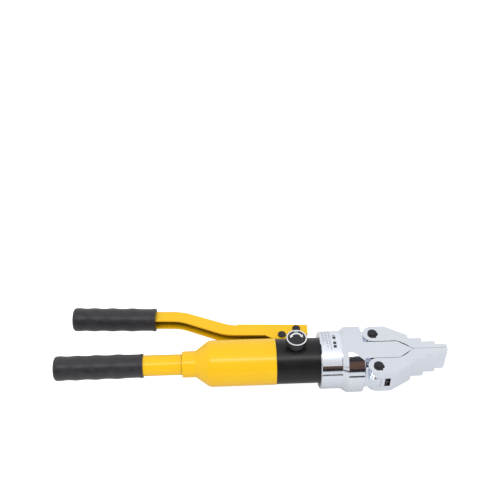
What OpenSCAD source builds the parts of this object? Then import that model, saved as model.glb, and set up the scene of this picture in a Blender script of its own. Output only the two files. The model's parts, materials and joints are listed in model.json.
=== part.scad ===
// Hand-pumped hydraulic flange spreader with stepped jaws.
// The tool's axis runs along X towards the jaw tips, Z is normal to the lever's plane,
// and the pump lever lies on the +Y side. Sizes are in millimetres.

/* [Handle] */
// Length of the fixed rubber grip
grip_l = 114.5; // [90:0.5:150]
// Diameter of both rubber grips at their thick end
grip_d = 33; // [30:0.5:40]
// Outer diameter of the fixed handle tube
stem_d = 27; // [22:0.5:29]
// Wall of the handle tube
stem_wall = 2.5; // [1.5:0.1:4]
// Bare tube between the grip and the reservoir collar
stem_gap = 50.2; // [30:0.1:90]

/* [Reservoir] */
// Length of the collar that holds the handle tube
collar_l = 17.3; // [10:0.1:25]
// Diameter of the collar
collar_d = 34; // [32:0.5:42]
// Length of the cone between the collar and the reservoir
flare_l = 22; // [16:1:34]
// Length of the reservoir's straight part
reservoir_l = 82; // [70:1:120]
// Outer diameter of the reservoir
reservoir_d = 60; // [58:0.5:74]
// Wall of the reservoir
reservoir_wall = 3; // [2:0.1:3.4]

/* [Pump] */
// Visible length of the pump body
pump_l = 56; // [52:1:80]
// Diameter of the pump body
pump_d = 58.5; // [57:0.5:58.5]
// Diameter of the pump plunger
plunger_d = 10; // [8:0.1:10.5]
// Running clearance of shafts and pistons, on the radius
run_clear = 0.05; // [0.02:0.01:0.09]
// Diameter of the release knob
knob_d = 27.5; // [22:0.5:32]
// Height of the release knob
knob_h = 10.5; // [9:0.5:16]

/* [Lever] */
// Length of the lever from its pivot to the grip's free end
lever_l = 303.7; // [270:0.1:340]
// Length of the lever's grip
lever_grip_l = 113.4; // [90:0.1:130]
// Height of the pressed channel, across its two flanges
channel_h = 17; // [16:0.5:22]
// Width of the channel's flanges beside the reservoir
channel_w = 19; // [16:0.5:21]
// Width of the channel's flanges inside the grip
channel_w_grip = 18; // [14:0.5:19]
// Thickness of the channel's sheet
sheet = 2.5; // [1.5:0.1:3]
// Diameter of the two lever pins
lever_pin_d = 7; // [5:0.5:8]
// Outward step of the lever between its straight part and its grip
lever_step = 24.5; // [18:0.5:34]
// Opening angle of the lever
lever_swing = 52; // [30:1:52]

/* [Cylinder head] */
// Length of the rear ring
ring1_l = 27; // [26:1:40]
// Diameter of the rear ring
ring1_d = 74; // [70:0.5:80]
// Length of the cone between the two rings
cone_l = 7; // [4:0.5:12]
// Length of the front ring
ring2_l = 22; // [20:1:34]
// Diameter of the front ring
ring2_d = 84.5; // [82:0.5:96]
// Bore of the ram cylinder
bore_d = 50; // [44:0.5:52]
// Stroke of the ram
stroke = 20; // [8:0.5:20]

/* [Jaws] */
// Distance from the head's front face to the jaw pins
pin_ahead = 17; // [16:0.5:24]
// Diameter of the jaw pins
jaw_pin_d = 10; // [8:0.5:12]
// Radius of the jaw ears around the pins
ear_r = 12.8; // [11:0.1:12.8]
// Distance from the jaw pins to the jaw tips
jaw_l = 94; // [90:1:120]
// Thickness of the jaws
jaw_t = 35; // [32:0.5:44]
// Thickness of the head's tongues between the fork plates
tongue_t = 15; // [12:0.5:18]
// Half width of the thin front step
step1_half = 6.2; // [5:0.1:8]
// Half width of the middle step
step2_half = 11.4; // [9.5:0.1:14]
// Half width of the thick step
step3_half = 17.6; // [15:0.1:21]
// Length of one step
step_l = 16.5; // [10:0.5:18]
// Opening angle of each jaw
jaw_swing = 13; // [8:0.5:13]
// Width of the ram's wedge
wedge_w = 26.8; // [20:0.1:27]
// Half angle of the wedge's tip
tip_a = 30; // [24:1:36]

/* [Hidden] */
$fn = 64;

// Gap kept between pieces that move past each other
gap = 0.3;
// Cutting tools reach this far past a face
eps = 1;

// Stations along the tool's axis, from the end of the fixed grip
x_collar = grip_l + stem_gap;
x_flare = x_collar + collar_l;
x_tank = x_flare + flare_l;
x_pump = x_tank + reservoir_l;
x_head = x_pump + pump_l;
x_cone = x_head + ring1_l;
x_ring2 = x_cone + cone_l;
x_face = x_ring2 + ring2_l;
x_pin = x_face + pin_ahead;
x_tip = x_pin + jaw_l;

// Rounding of the grips' closed ends
grip_dome = 4;

// Reservoir and what is in it
tank_r = reservoir_d / 2 - reservoir_wall;
stem_r = stem_d / 2;
socket_l = 21;
x_stem_end = x_collar + socket_l;
grip_end_t = 5;
boss_r = 17;
boss_l = 11;
spigot_l = 14;
x_spigot = x_pump - spigot_l;
x_boss = x_spigot - boss_l;
bladder_gap = 2;
bladder_wall = 1.5;
bladder_r = tank_r - bladder_gap;
x_bladder = x_tank - 1;
bladder_hole_r = 5;

// Cylinder head
spigot2_l = 10;
spigot2_r = bore_d / 2 + 2;
x_bore = x_head + spigot2_l;
x_bore_end = x_face - 8;
bore_r = bore_d / 2;
seal_wire = 1;
seal_slack = 0.1;
x_housing_seal = x_spigot + 6;
x_cylinder_seal = x_head + 6;
x_lock = x_head + 4;
lock_r = 2.5;
relief_arc_r = 49;
relief_drop = 10.7;
x_relief = x_cone + 1;
rod_r = wedge_w / 2;
piston_t = 7.5;
x_piston = x_bore + 0.5;
x_piston_ring = x_piston + 2;
piston_ring_t = 3;
piston_ring_in = bore_r - 3.5;
screw_r = 5;
screw_head_r = 8;
x_screw_seat = x_piston + 4.5;
x_screw_end = x_piston + piston_t + 18;
spring_slack = 0.1;
wiper_t = 3;
wiper_r = rod_r + 2.5;

// Lever pins: the fixed pivot and the plunger pin, the latter in the lever's own frame
x_pivot = x_head - 25.3;
y_pivot = pump_d / 2 + 18.75;
lever_tilt = 2.7;
pin_u = 19.4;
pin_v = -10.7;
pin_r = lever_pin_d / 2;
pin_head_t = 1.6;
pin_head_r = pin_r + 1.7;
pin_tail = 2.6;
clip_bite = 0.4;
lever_clip_t = 1;
z_lever_clip = -channel_h / 2 - lever_clip_t - 0.4;
x_pin_a = x_pivot - pin_u * cos(lever_tilt) + pin_v * sin(lever_tilt);
y_pin_a = y_pivot + pin_u * sin(lever_tilt) + pin_v * cos(lever_tilt);
link_r = norm([pin_u, pin_v]);
link_angle = atan2(y_pivot - y_pin_a, x_pivot - x_pin_a);
plunger_travel = link_r * (sin(link_angle) + sin(lever_swing - link_angle));
// The plunger stands midway between the two ends of the pin's sideways travel
x_plunger = x_pivot - link_r * (1 + cos(link_angle)) / 2;
slot_half = link_r * (1 - cos(link_angle)) / 2 + 0.15;
plunger_r = plunger_d / 2;
gland_r = plunger_r + 3;
y_gland = pump_d / 2 + 1;
y_seal = y_gland - 9.5;
plunger_seal_t = 2.5;
y_plunger_end = 0;
lug_r = 7;
fork_in = channel_h - 2 * sheet;
lug_t = fork_in - 2 * gap;

// Pressed channel of the lever, in its own frame: u runs back from the pivot, v outwards
edge_v = 7.5;
front_u = -15.3;
bend_u = 80;
bend_r = 60;
bend_a = 21;
v_front = edge_v - channel_w / 2;
v_grip = v_front + lever_step;
ramp_l = (lever_step - 2 * bend_r * (1 - cos(bend_a))) / sin(bend_a);
grip_end_u = lever_l;
channel_end_u = lever_l - 12;
web_u = 8;
notch_u = 41.5;
ear_v = -18;

// Valves, all in the pump body
y_valve = -8;
x_suction_seat = x_pump - 3;
x_seat = x_pump + 13;
seat_l = 6;
x_plug = x_seat + seat_l + 20;
plug_l = 7;
suction_port_r = 1.8;
suction_ball_r = 2.6;
pocket_r = 3;
valve_r = 4.5;
port_r = 2;
discharge_ball_r = 3.2;
relief_y = 6;
relief_z = -10;
relief_r = 3.5;
relief_port_r = 1.2;
relief_ball_r = 2.4;
x_relief_seat = x_pump + 25;
x_relief_screw = x_pump + 1;
relief_screw_l = 8;
ball_gap = 0.05;

// Release valve under the knob
x_knob = x_head - 30.2;
z_release_seat = 6.5;
release_ball_r = 3;
chamber_r = 4;
z_chamber = 13.5;
spindle_r = 5 - run_clear;
needle_r = 2.5;
spindle_pocket = 3.5;
spindle_seal_t = 2.5;
spindle_seal_r = spindle_r + 3;
z_ball_top = z_release_seat + sqrt(pow(release_ball_r, 2) - pow(port_r, 2)) + release_ball_r;
z_knob = pump_d / 2 + 5.75;
knob_boss_r = 9.6;
z_knob_top = z_knob + knob_h;
knob_r = knob_d / 2;
knob_rim = 1.4;
knob_cap = 4;
knob_dish = 0.9;
face_t = 0.7;
z_face = z_knob_top - knob_dish + face_t;
knob_screw_r = 2;

// Jaws, in a frame at the far pin
wedge_half = wedge_w / 2;
tongue_gap = 0.8;
pin_side = wedge_half + tongue_gap + ear_r;
cam_clear = 0.45;
cam_steps = 8;
shoulder_u = 30;
part_gap = 0.15;
heel_u = 17;
slope_u = 45;
slope_half = 23.6;
step3_u = jaw_l - 2 * step_l - 15;
step2_u = jaw_l - step_l - 14.5;
step1_u = jaw_l - 14.5;
tip_r = 2.5;
wedge_t = jaw_t - 0.6;
ear_t = (jaw_t - tongue_t) / 2 - gap;
window_u = 11;
window_w = 7;
dowel_r = 1.5;
dowel_top = tongue_t / 2 + 2.5;
dowel_reach = ear_r + gap + dowel_r + 0.2;
dowel_v = sqrt(pow(dowel_reach, 2) - pow(window_u, 2));
spring_r = 1.9;
spring_wire = 1;
spring_sway = 2.6;
spring_room = 8;
eye_r = dowel_r + spring_wire / 2 + 0.2;
spring_end = pin_side + dowel_v - eye_r;
tongue_notch_u = window_u - spring_r - spring_wire / 2 - spring_sway;
tongue_notch_h = 2 * spring_r + spring_wire + 2;
jaw_pin_r = jaw_pin_d / 2;
pin_stand = 2.5;
clip_t = 1.2;
clip_in = jaw_pin_r - clip_bite;
clip_out = jaw_pin_r + 1.3;
z_clip = jaw_t / 2 + 0.4;

// The origin is below the middle of the tool, at the level of its lowest point
head_low = relief_arc_r - relief_drop;
y_top = y_pivot + (grip_end_u - grip_dome) * sin(lever_tilt)
    + (v_grip + grip_d / 2) * cos(lever_tilt);
y_bottom = -ring2_d / 2;
place = [-x_tip / 2, -(y_top + y_bottom) / 2, head_low];

yellow = "gold";
black = "dimgray";
chrome = "lightsteelblue";

// A turned piece about the tool's axis, from points given as [radius, x]
module turned(points) {
    rotate([0, 90, 0])
        rotate_extrude()
            polygon(points);
}

// A round bar along X, Y or Z
module bar_x(x0, x1, r) {
    translate([x0, 0, 0])
        rotate([0, 90, 0])
            cylinder(h = x1 - x0, r = r);
}

module bar_y(y0, y1, r) {
    translate([0, y0, 0])
        rotate([-90, 0, 0])
            cylinder(h = y1 - y0, r = r);
}

module bar_z(z0, z1, r) {
    translate([0, 0, z0])
        cylinder(h = z1 - z0, r = r);
}

// A washer or sleeve about X
module sleeve_x(x0, x1, r_in, r_out) {
    turned([[r_in, x0], [r_out, x0], [r_out, x1], [r_in, x1]]);
}

// An O-ring about X
module ring_x(x, r, wire) {
    translate([x, 0, 0])
        rotate([0, 90, 0])
            rotate_extrude()
                translate([r, 0])
                    circle(r = wire, $fn = 24);
}

// A coil spring along X, swept as a six-sided wire
module coil_x(x0, x1, r, wire, turns) {
    sides = 6;
    steps = round(16 * turns);
    w = wire / 2;
    span = x1 - x0 - wire;
    points = [for (i = [0 : steps], j = [0 : sides - 1])
        let (a = 360 * turns * i / steps, b = 360 * j / sides, q = r + w * cos(b))
        [x0 + w + span * i / steps + w * sin(b), q * cos(a), q * sin(a)]];
    walls = [for (i = [0 : steps - 1], j = [0 : sides - 1], half = [0, 1])
        let (a = i * sides + j, b = i * sides + (j + 1) % sides)
        half == 0 ? [a, b, b + sides] : [a, b + sides, a + sides]];
    ends = [[for (j = [sides - 1 : -1 : 0]) j], [for (j = [0 : sides - 1]) steps * sides + j]];
    polyhedron(points, concat(walls, ends), convexity = 8);
}

// Moves a shape from the lever's own frame to its place on the tool
module lever_frame() {
    translate([x_pivot, y_pivot, 0])
        rotate([0, 0, -lever_tilt])
            mirror([1, 0, 0])
                children();
}

// Radius of a rubber grip at a share t of its length: a thick domed end, four
// finger waves and a lip at the mouth
function grip_radius(t) =
    grip_d / 2 - 0.9 * t - 0.45 * (1 - cos(360 * 4 * t)) / 2 + 0.4 * exp(-pow((1 - t) * 22, 2));

module grip_body(length) {
    steps = 32;
    turned(concat(
        [[0, 0]],
        [for (a = [30 : 15 : 75])
            [grip_d / 2 - grip_dome * (1 - sin(a)), grip_dome * (1 - cos(a))]],
        [for (i = [0 : steps])
            [grip_radius(i / steps), grip_dome + (length - grip_dome) * i / steps]],
        [[0, length]]));
}

module fixed_grip() {
    color(black)
        difference() {
            grip_body(grip_l);
            bar_x(grip_end_t, grip_l + eps, stem_r);
        }
}

module handle_tube() {
    color(yellow)
        sleeve_x(grip_end_t, x_stem_end, stem_r - stem_wall, stem_r);
}

module reservoir_housing() {
    shoulder_r = 12;
    shoulder_a = 35;
    r = reservoir_d / 2;
    chamfer = 0.8;
    inner = stem_r - stem_wall;
    color(yellow)
        turned(concat(
            [[stem_r, x_collar], [collar_d / 2 - chamfer, x_collar],
             [collar_d / 2, x_collar + chamfer], [collar_d / 2, x_flare]],
            [for (a = [shoulder_a : -7 : 0])
                [r - shoulder_r * (1 - cos(a)), x_tank - shoulder_r * sin(a)]],
            [[r, x_pump], [tank_r, x_pump], [tank_r, x_tank + 4],
             [tank_r - 6, x_tank - 4], [inner, x_stem_end + 2],
             [inner, x_stem_end], [stem_r, x_stem_end]]));
}

module oil_bladder() {
    neck_x = x_boss + 2;
    color("saddlebrown")
        turned([[bladder_hole_r, x_bladder], [bladder_r - 6, x_bladder], [bladder_r, x_bladder + 8],
                [bladder_r, neck_x - 10], [boss_r + bladder_wall, neck_x],
                [boss_r + bladder_wall, x_spigot - 1], [boss_r, x_spigot - 1], [boss_r, neck_x - 1],
                [bladder_r - bladder_wall, neck_x - 11],
                [bladder_r - bladder_wall, x_bladder + 8 + bladder_wall / 2],
                [bladder_r - 6 - bladder_wall, x_bladder + bladder_wall],
                [bladder_hole_r, x_bladder + bladder_wall]]);
}

module bladder_plug() {
    color(black)
        union() {
            bar_x(x_bladder - 1.5, x_bladder, bladder_hole_r + 2);
            bar_x(x_bladder - 1, x_bladder + 6, bladder_hole_r);
        }
}

module bladder_clamp() {
    r = boss_r + bladder_wall;
    color(chrome)
        sleeve_x(x_boss + 3, x_spigot - 2, r, r + 1.5);
}

module suction_filter() {
    reach = 14;
    color("peru")
        translate([0, y_valve, 0])
            difference() {
                union() {
                    bar_x(x_boss - reach, x_boss, 2.5);
                    bar_x(x_boss - reach - 10, x_boss - reach + 2, 6);
                }
                bar_x(x_boss - reach - 7, x_boss + eps, 1.3);
            }
}

module pump_body() {
    r = pump_d / 2;
    color(black)
        difference() {
            union() {
                turned([[0, x_boss], [boss_r, x_boss], [boss_r, x_spigot], [tank_r, x_spigot],
                        [tank_r, x_pump], [r, x_pump], [r, x_head], [spigot2_r, x_head],
                        [spigot2_r, x_bore], [0, x_bore]]);
                translate([x_knob, 0, 0])
                    bar_z(0, z_knob - gap, knob_boss_r);
            }
            pump_bores();
            valve_bores();
            release_bores();
            seal_groove(x_housing_seal, tank_r);
            seal_groove(x_cylinder_seal, spigot2_r);
        }
}

// Groove for an O-ring whose outside meets radius r
module seal_groove(x, r) {
    half = seal_wire + seal_slack;
    sleeve_x(x - half, x + half, r - 2 * seal_wire, r + eps);
}

// Lug between the channel's flanges, saddled on the pump body, with the lever's pivot bore
module pivot_lug() {
    color(black)
        difference() {
            translate([x_pivot, 0, -lug_t / 2])
                difference() {
                    union() {
                        translate([-lug_r, pump_d / 4, 0])
                            cube([2 * lug_r, y_pivot - pump_d / 4, lug_t]);
                        translate([0, y_pivot, 0])
                            cylinder(h = lug_t, r = lug_r);
                    }
                    translate([0, y_pivot, -eps])
                        cylinder(h = lug_t + 2 * eps, r = pin_r + run_clear);
                }
            bar_x(x_pump, x_head, pump_d / 2);
        }
}

module pump_bores() {
    translate([x_plunger, 0, 0]) {
        bar_y(y_plunger_end - 3, y_seal + eps, plunger_r + run_clear);
        bar_y(y_seal, y_gland + 20, gland_r);
        bar_y(y_valve, y_plunger_end, 2.5);
    }
}

module valve_bores() {
    translate([0, y_valve, 0]) {
        bar_x(x_boss - eps, x_suction_seat + eps, suction_port_r);
        bar_x(x_suction_seat, x_seat + eps, pocket_r);
        bar_x(x_seat, x_bore + eps, valve_r);
    }
    translate([0, relief_y, relief_z]) {
        bar_x(x_boss - eps, x_relief_seat, relief_r);
        bar_x(x_relief_seat - eps, x_bore + eps, relief_port_r);
    }
}

module release_bores() {
    translate([x_knob, 0, 0]) {
        bar_z(0, z_release_seat + eps / 2, port_r);
        bar_z(z_release_seat, z_chamber, chamber_r);
        bar_z(z_chamber - eps / 2, pump_d, spindle_r + run_clear);
        bar_z(pump_d / 2 - spindle_pocket, pump_d, spindle_seal_r);
        bar_y(y_valve, 0, port_r - 0.5);
    }
    translate([0, 0, z_release_seat + 2])
        bar_x(x_boss - eps, x_knob, port_r - 0.5);
}

module housing_seal() {
    color(black)
        ring_x(x_housing_seal, tank_r - seal_wire, seal_wire);
}

module cylinder_seal() {
    color(black)
        ring_x(x_cylinder_seal, spigot2_r - seal_wire, seal_wire);
}

module plunger_gland() {
    color(chrome)
        translate([x_plunger, 0, 0])
            difference() {
                bar_y(y_seal + plunger_seal_t, y_gland, gland_r);
                bar_y(y_seal, y_gland + eps, plunger_r + run_clear);
            }
}

module plunger_seal() {
    color(black)
        translate([x_plunger, 0, 0])
            difference() {
                bar_y(y_seal, y_seal + plunger_seal_t, gland_r);
                bar_y(y_seal - eps, y_seal + plunger_seal_t + eps, plunger_r + run_clear);
            }
}

// Bar with a slotted head; the slot takes up the pin's sideways travel
module plunger() {
    head_r = pin_r + 2.9;
    slot_r = pin_r + 0.35;
    color(chrome)
        translate([x_plunger, 0, 0])
            difference() {
                union() {
                    bar_y(y_plunger_end, y_pin_a - head_r + 1, plunger_r);
                    stadium(y_pin_a, slot_half, head_r, lug_t);
                }
                stadium(y_pin_a, slot_half, slot_r, lug_t + 2 * eps);
            }
}

// Round-ended plate in the XY plane, centred on height
module stadium(y, half, r, t) {
    for (side = [-1, 1])
        translate([side * half, y, -t / 2])
            cylinder(h = t, r = r);
    translate([-half, y - r, -t / 2])
        cube([2 * half, 2 * r, t]);
}

// Headed pin through both flanges, grooved for its clip
module lever_pin(x, y) {
    color(black)
        translate([x, y, 0])
            difference() {
                union() {
                    bar_z(-channel_h / 2 - pin_tail, channel_h / 2, pin_r);
                    bar_z(channel_h / 2, channel_h / 2 + pin_head_t, pin_head_r);
                }
                clip_groove(z_lever_clip, lever_clip_t, pin_r);
            }
}

// Groove of height t for a retaining ring on a pin of radius r
module clip_groove(z, t, r) {
    difference() {
        bar_z(z, z + t, r + eps);
        bar_z(z - eps, z + t + eps, r - clip_bite);
    }
}

module plunger_pin() {
    lever_pin(x_pin_a, y_pin_a);
}

module lever_pivot_pin() {
    lever_pin(x_pivot, y_pivot);
}

// Open retaining ring of thickness t with its mouth towards +X
module circlip(r_in, r_out, t, mouth) {
    linear_extrude(t)
        difference() {
            union() {
                circle(r = r_out);
                for (side = [-1, 1])
                    translate([r_out - 0.4, side * (mouth / 2 + 1)])
                        circle(r = 1.2, $fn = 24);
            }
            circle(r = r_in);
            translate([0, -mouth / 2])
                square([2 * r_out, mouth]);
        }
}

module lever_pin_clips() {
    color(black)
        for (p = [[x_pin_a, y_pin_a], [x_pivot, y_pivot]])
            translate([p[0], p[1], z_lever_clip])
                circlip(pin_r - clip_bite, pin_r + 1.2, lever_clip_t, 2);
}

module suction_valve_ball() {
    x = x_suction_seat + sqrt(pow(suction_ball_r, 2) - pow(suction_port_r, 2)) + ball_gap;
    color(chrome)
        translate([x, y_valve, 0])
            sphere(r = suction_ball_r);
}

module suction_spring() {
    x = x_suction_seat + 2 * suction_ball_r;
    color(chrome)
        translate([0, y_valve, 0])
            coil_x(x, x_seat - spring_slack, 2.2, 0.6, 5);
}

module discharge_seat() {
    color(chrome)
        translate([0, y_valve, 0])
            sleeve_x(x_seat, x_seat + seat_l, port_r, valve_r);
}

module discharge_valve_ball() {
    x = x_seat + seat_l + sqrt(pow(discharge_ball_r, 2) - pow(port_r, 2)) + ball_gap;
    color(chrome)
        translate([x, y_valve, 0])
            sphere(r = discharge_ball_r);
}

module discharge_spring() {
    x = x_seat + seat_l + 2 * discharge_ball_r - 0.2;
    color(chrome)
        translate([0, y_valve, 0])
            coil_x(x, x_plug - spring_slack, 2.6, 0.8, 6);
}

module discharge_plug() {
    color(chrome)
        translate([0, y_valve, 0])
            sleeve_x(x_plug, x_plug + plug_l, 1.5, valve_r);
}

module relief_valve_ball() {
    x = x_relief_seat - sqrt(pow(relief_ball_r, 2) - pow(relief_port_r, 2)) - ball_gap;
    color(chrome)
        translate([x, relief_y, relief_z])
            sphere(r = relief_ball_r);
}

module relief_spring() {
    color(chrome)
        translate([0, relief_y, relief_z])
            coil_x(x_relief_screw + relief_screw_l + spring_slack,
                   x_relief_seat - 2 * relief_ball_r + spring_slack,
                   2.4, 0.9, 6);
}

module relief_screw() {
    color(chrome)
        translate([0, relief_y, relief_z])
            difference() {
                bar_x(x_relief_screw, x_relief_screw + relief_screw_l, relief_r);
                bar_x(x_relief_screw - eps, x_relief_screw + relief_screw_l + eps, 0.8);
                translate([x_relief_screw - eps, 0, 0])
                    rotate([0, 90, 0])
                        cylinder(h = 4, r = 1.7, $fn = 6);
            }
}

module release_valve_ball() {
    color(chrome)
        translate([x_knob, 0, z_ball_top - release_ball_r + ball_gap])
            sphere(r = release_ball_r);
}

module release_spindle() {
    color(chrome)
        translate([x_knob, 0, 0]) {
            bar_z(z_ball_top + 2 * ball_gap, z_chamber + 1, needle_r);
            bar_z(z_chamber + 1, z_knob_top - knob_cap, spindle_r);
        }
}

module spindle_seal() {
    color(black)
        translate([x_knob, 0, 0])
            difference() {
                bar_z(pump_d / 2 - spindle_pocket, pump_d / 2 - spindle_pocket + spindle_seal_t,
                      spindle_seal_r);
                bar_z(pump_d / 2 - spindle_pocket - eps, pump_d / 2, spindle_r + run_clear);
            }
}

module release_knob() {
    lower = 1.2;
    edge = 0.6;
    color(black)
        translate([x_knob, 0, 0])
            difference() {
                rotate_extrude()
                    polygon([[spindle_r, z_knob], [knob_r - lower - 1, z_knob],
                             [knob_r - lower, z_knob + 1], [knob_r - lower, z_knob + 3],
                             [knob_r, z_knob + 3 + lower], [knob_r, z_knob_top - edge],
                             [knob_r - edge, z_knob_top],
                             [knob_r - knob_rim, z_knob_top],
                             [knob_r - knob_rim, z_knob_top - knob_dish],
                             [0, z_knob_top - knob_dish], [0, z_knob_top - knob_cap],
                             [spindle_r, z_knob_top - knob_cap]]);
                translate([0, 0, z_knob + knob_h / 2])
                    bar_x(-knob_r - eps, 0, knob_screw_r);
            }
}

module knob_face() {
    color("white")
        translate([x_knob, 0, 0])
            bar_z(z_knob_top - knob_dish, z_face, knob_r - knob_rim - 0.1);
}

module knob_pointer() {
    pointer = [5, 3, 0.7];
    color("silver")
        translate([x_knob - pointer[0] / 2, knob_r - knob_rim - pointer[1] - 0.6, z_face])
            cube(pointer);
}

module knob_screw() {
    color(black)
        translate([x_knob, 0, z_knob + knob_h / 2])
            difference() {
                bar_x(-knob_r + 1, -spindle_r, knob_screw_r);
                translate([-knob_r, 0, 0])
                    rotate([0, 90, 0])
                        cylinder(h = 3, r = 1, $fn = 6);
            }
}

module cylinder_head() {
    r1 = ring1_d / 2;
    r2 = ring2_d / 2;
    color(chrome)
        difference() {
            union() {
                intersection() {
                    turned([[spigot2_r, x_head], [r1 - 1, x_head], [r1, x_head + 1],
                            [r1, x_cone], [r2, x_ring2], [r2, x_face - 2],
                            [r2 - 4.6, x_face], [wiper_r, x_face],
                            [wiper_r, x_face - wiper_t], [rod_r + run_clear, x_face - wiper_t],
                            [rod_r + run_clear, x_bore_end], [bore_r, x_bore_end],
                            [bore_r, x_bore], [spigot2_r, x_bore]]);
                    relief_shape();
                }
                for (side = [-1, 1])
                    tongue(side);
            }
            bar_x(x_face - wiper_t, x_face, wiper_r);
            for (side = [-1, 1])
                translate([x_pin, side * pin_side, 0]) {
                    bar_z(-jaw_t, jaw_t, jaw_pin_r);
                    translate([tongue_notch_u, -ear_r - eps, -tongue_notch_h / 2])
                        cube([ear_r, 2 * (ear_r + eps), tongue_notch_h]);
                }
            translate([x_lock, 0, 0])
                bar_z(-ring1_d, -spigot2_r + 2, lock_r);
        }
}

// Side view of the head: full behind the cone, falling away in an arc before it
module relief_shape() {
    wide = ring2_d;
    translate([x_head - eps, -wide, -wide])
        cube([x_relief - x_head + eps, 2 * wide, 2 * wide]);
    intersection() {
        translate([x_relief, -wide, -relief_drop])
            rotate([-90, 0, 0])
                cylinder(h = 2 * wide, r = relief_arc_r, $fn = 128);
        translate([x_relief, -wide, relief_drop])
            rotate([-90, 0, 0])
                cylinder(h = 2 * wide, r = relief_arc_r, $fn = 128);
        translate([x_relief - eps, -wide, -wide])
            cube([2 * wide, 2 * wide, 2 * wide]);
    }
}

// Flat tongue that carries one jaw pin
module tongue(side) {
    root_u = -pin_ahead - 7;
    translate([x_pin, side * pin_side, -tongue_t / 2])
        linear_extrude(tongue_t)
            polygon(concat(
                [[root_u, ear_r]],
                [for (a = [90 : -7.5 : -90]) [ear_r * cos(a), ear_r * sin(a)]],
                [[root_u, -ear_r]]));
}

module head_lock_screw() {
    color(black)
        translate([x_lock, 0, 0])
            difference() {
                bar_z(-ring1_d / 2 + 1, -spigot2_r - seal_slack, lock_r);
                translate([0, 0, -ring1_d / 2])
                    cylinder(h = 3.5, r = 1.3, $fn = 6);
            }
}

// Thin curved plate over the top of the rear ring
module nameplate() {
    wrap = 104;
    r = ring1_d / 2;
    plate = 0.35;
    back = 1.2;
    front = 0.7;
    color("white")
        rotate([0, 90, 0])
            rotate([0, 0, 180 - wrap / 2])
                rotate_extrude(angle = wrap, $fn = 128)
                    translate([r, x_head + back])
                        square([plate, ring1_l - back - front]);
}

module rod_wiper() {
    color(black)
        sleeve_x(x_face - wiper_t, x_face, rod_r + run_clear, wiper_r);
}

module piston() {
    color("silver")
        difference() {
            bar_x(x_piston, x_piston + piston_t, bore_r - run_clear);
            sleeve_x(x_piston_ring, x_piston_ring + piston_ring_t, piston_ring_in, bore_r + eps);
            bar_x(x_piston - eps, x_screw_seat, screw_head_r);
            bar_x(x_piston, x_piston + piston_t + eps, screw_r);
        }
}

module piston_seal() {
    color(black)
        sleeve_x(x_piston_ring, x_piston_ring + piston_ring_t, piston_ring_in, bore_r - run_clear);
}

module piston_screw() {
    color(black)
        difference() {
            union() {
                bar_x(x_piston + gap, x_screw_seat, screw_head_r - 0.2);
                bar_x(x_screw_seat, x_screw_end, screw_r);
            }
            translate([x_piston, 0, 0])
                rotate([0, 90, 0])
                    cylinder(h = 3, r = 3.5, $fn = 6);
        }
}

module return_spring() {
    wire = 3;
    color(chrome)
        coil_x(x_piston + piston_t + spring_slack, x_bore_end - spring_slack,
               (rod_r + bore_r) / 2, wire, 3.3);
}

// Ram rod with the wedge that spreads the jaws, slotted for the closing spring
module ram_wedge() {
    tail = x_face + 2;
    tip_half = 0.4;
    tip_u = nose_u - (tip_half + cam_clear - part_gap) / tan(tip_a);
    // Straight from the shoulder to the nose, inside the hollow path of the jaws' faces
    side = [[tail - x_pin, wedge_half], [shoulder_u, wedge_half],
            cam_end + [0, pin_side - cam_clear], [tip_u, tip_half]];
    n = len(side) - 1;
    slot_back = window_u - stroke - window_w / 2 - 2;
    slot_l = stroke + window_w + 3;
    color(chrome)
        difference() {
            union() {
                bar_x(x_piston + piston_t, tail + 1, rod_r);
                translate([x_pin, 0, -wedge_t / 2])
                    linear_extrude(wedge_t)
                        polygon(concat(side, [for (i = [n : -1 : 0]) [side[i][0], -side[i][1]]]));
            }
            bar_x(x_piston, x_screw_end + 1, screw_r);
            translate([x_pin + slot_back, -wedge_w, -spring_room / 2])
                cube([slot_l, 2 * wedge_w, spring_room]);
        }
}

// Path of the wedge's shoulder as one jaw sees it while the ram moves out by s
function cam_point(s) =
    let (u = shoulder_u + s, v = wedge_half + cam_clear - pin_side, a = jaw_swing * s / stroke)
    [u * cos(a) + v * sin(a), v * cos(a) - u * sin(a)];

// Where the jaws' inner faces meet ahead of the wedge
cam_end = cam_point(stroke);
nose_u = cam_end[0] + (cam_end[1] + pin_side - part_gap) / tan(tip_a);

// Outline of the far jaw about its pin
module jaw_outline() {
    edge = part_gap - pin_side;
    bearing_v = [step1_half, step2_half, step3_half, slope_half] - [1, 1, 1, 1] * pin_side;
    polygon(concat(
        [for (a = [270 : -7.5 : 90]) [ear_r * cos(a), ear_r * sin(a)]],
        [[heel_u, ear_r], [slope_u - 1, bearing_v[3] + 0.7],
         [slope_u, bearing_v[3]], [slope_u + 0.5, bearing_v[3] - 1],
         [step3_u, bearing_v[2] + 0.6], [step3_u + 0.6, bearing_v[2]], [step2_u, bearing_v[2]],
         [step2_u, bearing_v[1]], [step1_u, bearing_v[1]], [step1_u, bearing_v[0]]],
        [for (a = [90 : -15 : 0])
            [jaw_l - tip_r + tip_r * cos(a), bearing_v[0] - tip_r + tip_r * sin(a)]],
        [[jaw_l, edge + 0.8], [jaw_l - 0.8, edge], [nose_u, edge]],
        [for (i = [cam_steps : -1 : 0]) cam_point(stroke * i / cam_steps)],
        [[shoulder_u - 1.2, -ear_r]]));
}

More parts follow.
